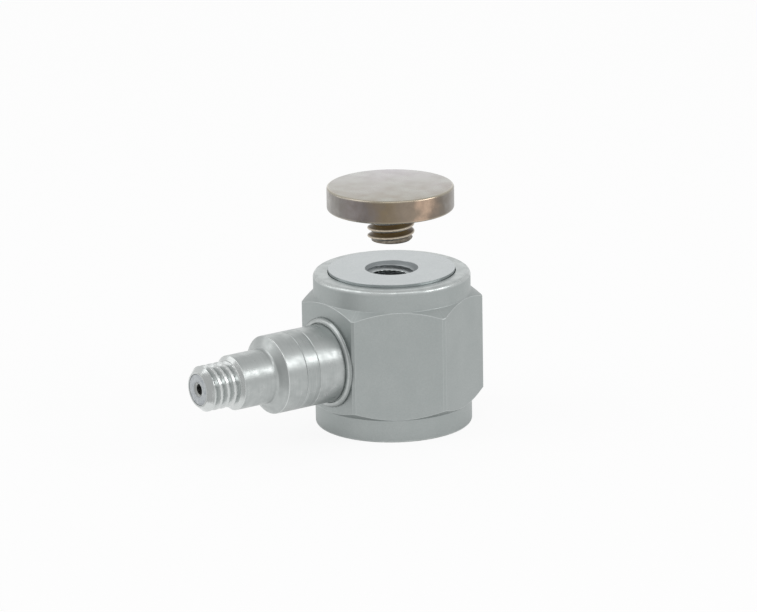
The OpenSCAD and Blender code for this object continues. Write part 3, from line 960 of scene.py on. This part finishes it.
for r, z, wear_and_sheen in fine_rows(shell_outline, insulator_bore + tiny, coupling_radius + tiny, thread_row):
    # The lead-in cone takes the full edge mark, which paints it brighter as a highlight.
    on_lead_in = z > lead_in_start and r > end_face_radius
    shell_points.append((r, z, 1.0 if on_lead_in else wear_and_sheen))
connector_nose = turned("connector_nose", shell_points, True)
cut_thread(
    connector_nose, connector_steel, Radius=coupling_radius, Depth=coupling_depth, Pitch=tap_pitch,
    Phase=coupling_phase, Start=coupling_start, End=lead_in_start, Run_In=coupling_run_in,
    Run_Out=coupling_run_out, Crest=coupling_crest, Root=coupling_root,
)
connector_nose.data.transform(along_connector)
shade(connector_nose, connector_steel)
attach(connector_nose, "sensor")
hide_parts("connector_shell")


# Connector insulator and contact: a moulded grey rod in the nose, and in its middle the nickel
# socket that takes the cable's pin, with a flat on its tail for the ribbon lead.
grey_insulator = plain_finish("grey_insulator", "#c3c7c9", "#a2a8ac", 0.35 * mm, roughness=0.38)
insulator_low, insulator_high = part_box("connector_insulator")
insulator_front = -insulator_low.x
insulator_back = -insulator_high.x
contact_low, contact_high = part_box("contact_socket")
contact_radius = 0.72 * mm
contact_wall = 0.2 * mm
contact_hole = contact_radius - contact_wall
contact_mouth = 0.16 * mm
contact_front = -contact_low.x
contact_hole_depth = 3.2 * mm
contact_hole_end = contact_front - contact_hole_depth
tail_start = -contact_high.x
tail_radius = 0.5 * mm
collar_radius = contact_high.y
collar_length = 0.2 * mm
collar_start = insulator_back - collar_length
board_level = 0.1 * mm
insulator_shoulder_rounding = 0.05 * mm
insulator_edge_rounding = 0.06 * mm
insulator_mouth_rounding = 0.04 * mm
tail_rounding = 0.03 * mm
contact_rounding = 0.02 * mm
insulator_corners = [
    (contact_radius + fit_gap, insulator_back, 0),
    (chamber_radius - fit_gap, insulator_back, 0),
    (chamber_radius - fit_gap, chamber_end, insulator_shoulder_rounding),
    (insulator_radius, chamber_end, 0),
    (insulator_radius, insulator_front, insulator_edge_rounding),
    (contact_radius + fit_gap, insulator_front, insulator_mouth_rounding),
]
connector_core = turned("connector_core", soften(insulator_corners, True), True)
connector_core.data.transform(along_connector)
shade(connector_core, grey_insulator)
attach(connector_core, "sensor")
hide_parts("connector_insulator")

contact_corners = [
    (0, tail_start, 0),
    (tail_radius, tail_start, tail_rounding),
    (tail_radius, collar_start, 0),
    (collar_radius, collar_start, tail_rounding),
    (collar_radius, insulator_back, 0),
    (contact_radius, insulator_back, 0),
    (contact_radius, contact_front, contact_rounding),
    (contact_hole + contact_mouth, contact_front, contact_rounding),
    (contact_hole, contact_front - contact_mouth, contact_rounding),
    (contact_hole, contact_hole_end, 0),
    (0, contact_hole_end, 0),
]
contact_tube = turned("contact_tube", soften(contact_corners, False), False)
flat_reach = 2 * tail_radius
flat_size = (flat_reach, 2 * flat_reach, 2 * (collar_start - tail_start))
flat_middle = (board_level + flat_reach / 2, 0, tail_start)
flat_form = bmesh.new()
bmesh.ops.create_cube(flat_form, size=1.0)
bmesh.ops.scale(flat_form, vec=flat_size, verts=flat_form.verts)
bmesh.ops.translate(flat_form, vec=flat_middle, verts=flat_form.verts)
cut_away(contact_tube, new_piece("flat_cutter", flat_form))
contact_tube.data.transform(along_connector)
shade(contact_tube, nickel)
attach(contact_tube, "sensor")
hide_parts("contact_socket")


# Impact cap: a hardened steel disc turned in one piece with its threaded stud, left with the brown
# and lilac tints of its heat treatment. It screws into the sensing plate and is struck on its top.
cap_low, cap_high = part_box("impact_cap")
cap_radius = cap_high.x
cap_thickness = 2.37 * mm
cap_underside = cap_high.z - cap_thickness
cap_stud_gap = 0.065 * mm
cap_stud_radius = tap_radius - cap_stud_gap
cap_stud_bevel = 0.4 * mm
cap_stud_run_in = 0.05 * mm
cap_stud_run_out = 0.15 * mm
cap_rounding = 0.25 * mm
stud_end_rounding = 0.05 * mm
level_back = Vector((0, 0, 1)).cross(level_right)
straw_tones = ("#a09f95", "#a39b8f")
pale_tones = ("#c1c2bf", "#c2bdc1")
# Brown and olive of the heat tint, made dark as painted shade in the stud's thread roots.
root_tint_and_shade_tones = ("#3c281b", "#54482f")
stud_end_tones = ("#8d867b", "#544a40")
crest_tone = "#bfb4a3"
scratch_tone = "#9f9b93"
fleck_tone = "#6f655c"
rubbed_tone = "#d6cdb8"
# Tints of the side from the camera's left to its right: grey, lilac, brown, straw, an orange glint, brown and
# grey. The hues are the heat tint; the orange glint is a painted highlight, and the lighter and darker stretches
# are painted light and shade.
side_tints_and_light = [
    (0.0, "#a3a19d"), (0.12, "#868380"), (0.2, "#878180"), (0.32, "#756f6d"),
    (0.45, "#80735f"), (0.6, "#8f8375"), (0.69, "#97897a"), (0.75, "#c2a994"),
    (0.81, "#948476"), (0.89, "#7b746b"), (1.0, "#9a9793"),
]


def reach_along(tree, place, direction):
    """How far a place lies along a direction."""
    product = node(tree, "ShaderNodeVectorMath", {0: place, 1: direction}, operation="DOT_PRODUCT")
    return product.outputs["Value"]


def heat_tinted_steel(name):
    """Hardened steel: pale straw top, paler towards the back; brown side with lilac bands, a painted orange glint
    and painted light and shade across it; a dark stud whose roots are painted darker as shade.
    """
    top_margin = 0.08 * mm
    underside_margin = 0.02 * mm
    stud_margin = 0.1 * mm
    drift_size = 3.2 * mm
    blotch_size = 1.5 * mm
    fleck_size = 0.5 * mm
    fleck_share = 0.3
    scratch_size = 0.25 * mm
    scratch_stretch = (0.12, 1.0, 0.3)
    scratch_share = 0.2
    scratch_strength = 0.4
    scratch_depth = 0.002 * mm
    pale_from = -5 * mm
    pale_to = 6 * mm
    tint_wander = 0.6 * mm
    tint_half = 6.4 * mm
    flank_from = 0.05
    flank_to = 0.3
    rubbed_share = 0.35
    rubbed_polish = 0.14
    smoothest = 0.26
    roughest = 0.38
    finish, tree, shader = new_finish(name)
    place = object_place(tree)
    along, radius = round_axis(tree, place)
    below = sums(tree, "LESS_THAN", along["Z"], cap_underside + underside_margin)
    above = sums(tree, "GREATER_THAN", along["Z"], cap_high.z - top_margin)
    wear_and_sheen = mark(tree, "wear_and_sheen")
    drift = cloud(tree, place, drift_size, detail=3.0)
    blotches = cloud(tree, place, blotch_size, detail=3.0)
    flecks = cloud(tree, place, fleck_size, detail=3.0)
    scratch_place = node(
        tree, "ShaderNodeMapping",
        {"Vector": place, "Rotation": (0, 0, view_azimuth), "Scale": scratch_stretch},
    ).outputs[0]
    scratches = cloud(tree, scratch_place, scratch_size, detail=3.0)

    paleness = ramp(tree, reach_along(tree, place, level_back), pale_from, pale_to)
    straw = blended(tree, blotches, *straw_tones)
    pale = blended(tree, drift, *pale_tones)
    clean_top = blended(tree, paleness, straw, pale)
    top = blended(tree, between(tree, scratches, 0.0, scratch_share), clean_top, scratch_tone)

    wander = between(tree, blotches, -tint_wander, tint_wander)
    across = sums(tree, "ADD", reach_along(tree, place, level_right), wander)
    # Across the side as the camera sees it: heat-tint hues with a painted glint and painted light and shade.
    tints_and_light = node(tree, "ShaderNodeValToRGB", {0: ramp(tree, across, -tint_half, tint_half)})
    while len(tints_and_light.color_ramp.elements) < len(side_tints_and_light):
        tints_and_light.color_ramp.elements.new(0.5)
    for element, (share, code) in zip(tints_and_light.color_ramp.elements, side_tints_and_light):
        element.position = share
        element.color = paint(code)
    side = blended(tree, between(tree, flecks, 0.0, fleck_share), tints_and_light.outputs[0], fleck_tone)
    body = blended(tree, sums(tree, "MAXIMUM", above, below), side, top)

    flank = ramp(tree, mark(tree, "groove"), flank_from, flank_to)
    # Pale crests; roots in heat tint that is darkened as painted shade.
    thread = blended(tree, flank, crest_tone, blended(tree, drift, *root_tint_and_shade_tones))
    stud_end = blended(tree, flecks, *stud_end_tones)
    on_stud_end = sums(tree, "LESS_THAN", along["Z"], cap_low.z + cap_stud_bevel)
    stud = blended(tree, on_stud_end, thread, stud_end)
    near_axis = sums(tree, "LESS_THAN", radius, cap_stud_radius + stud_margin)
    whole = blended(tree, sums(tree, "MULTIPLY", near_axis, below), body, stud)
    colour = blended(tree, sums(tree, "MULTIPLY", wear_and_sheen, rubbed_share), whole, rubbed_tone)
    dull = between(tree, blotches, smoothest, roughest)
    polished = sums(tree, "SUBTRACT", dull, sums(tree, "MULTIPLY", wear_and_sheen, rubbed_polish))
    dress(tree, shader, colour, polished, scratches, scratch_strength, scratch_depth)
    return finish


cap_steel = heat_tinted_steel("cap_steel")
cap_corners = [
    (0, cap_low.z, 0),
    (cap_stud_radius - cap_stud_bevel, cap_low.z, stud_end_rounding),
    (cap_stud_radius, cap_low.z + cap_stud_bevel, 0),
    (cap_stud_radius, cap_underside, 0),
    (cap_radius, cap_underside, cap_rounding),
    (cap_radius, cap_high.z, cap_rounding),
    (0, cap_high.z, 0),
]
cap_points = fine_rows(soften(cap_corners, False), tiny, cap_stud_radius + tiny, thread_row)
strike_cap = turned("strike_cap", cap_points, False)
cut_thread(
    strike_cap, cap_steel, Radius=cap_stud_radius, Depth=tap_depth, Pitch=tap_pitch,
    Phase=cap_thread_phase, Start=cap_low.z, End=cap_underside, Run_In=cap_stud_run_in,
    Run_Out=cap_stud_run_out, Crest=crest_flat, Root=root_flat,
)
shade(strike_cap, cap_steel)
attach(strike_cap, "cap")
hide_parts("impact_cap")
# Mirrored rays pass the cap, so that the steel below it shows the pale room.
strike_cap.visible_glossy = False
